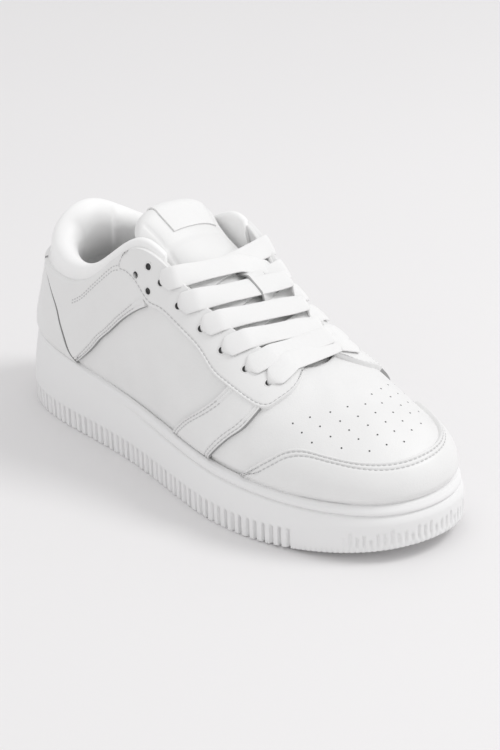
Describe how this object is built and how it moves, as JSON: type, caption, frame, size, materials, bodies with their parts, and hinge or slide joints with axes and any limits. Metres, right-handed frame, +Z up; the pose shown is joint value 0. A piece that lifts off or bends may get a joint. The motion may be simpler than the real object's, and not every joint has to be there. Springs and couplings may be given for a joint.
{
  "type": "dance sneaker",
  "caption": "Low right-foot dance sneaker: padded collar, tongue and overlays on a hollow leather upper, flat laces, and a thick cup sole ribbed round its foot.",
  "frame": {"origin": "on the ground, under the middle of the sole's length and width", "axes": "+X to the toe, -Y to the outer side of the foot, +Z up"},
  "size_m": [0.275, 0.1033, 0.1283],
  "materials": {
    "sole_rubber": "satin white rubber",
    "leather": "fine-grained white leather",
    "lining": "matt white textile",
    "label": "matt white woven strip",
    "lace_fabric": "matt white flat weave"
  },
  "bodies": {
    "root": {"sole": "sole_rubber", "insole": "lining", "upper": "leather", "tongue": "leather", "tongue_label": "label", "collar": "leather", "heel_counter": "leather", "quarter_lateral": "leather", "quarter_medial": "leather", "eyestay_lateral": "leather", "eyestay_medial": "leather", "band_lateral": "leather", "band_medial": "leather", "toe_cap": "leather", "laces": "lace_fabric"}
  },
  "joints": []
}
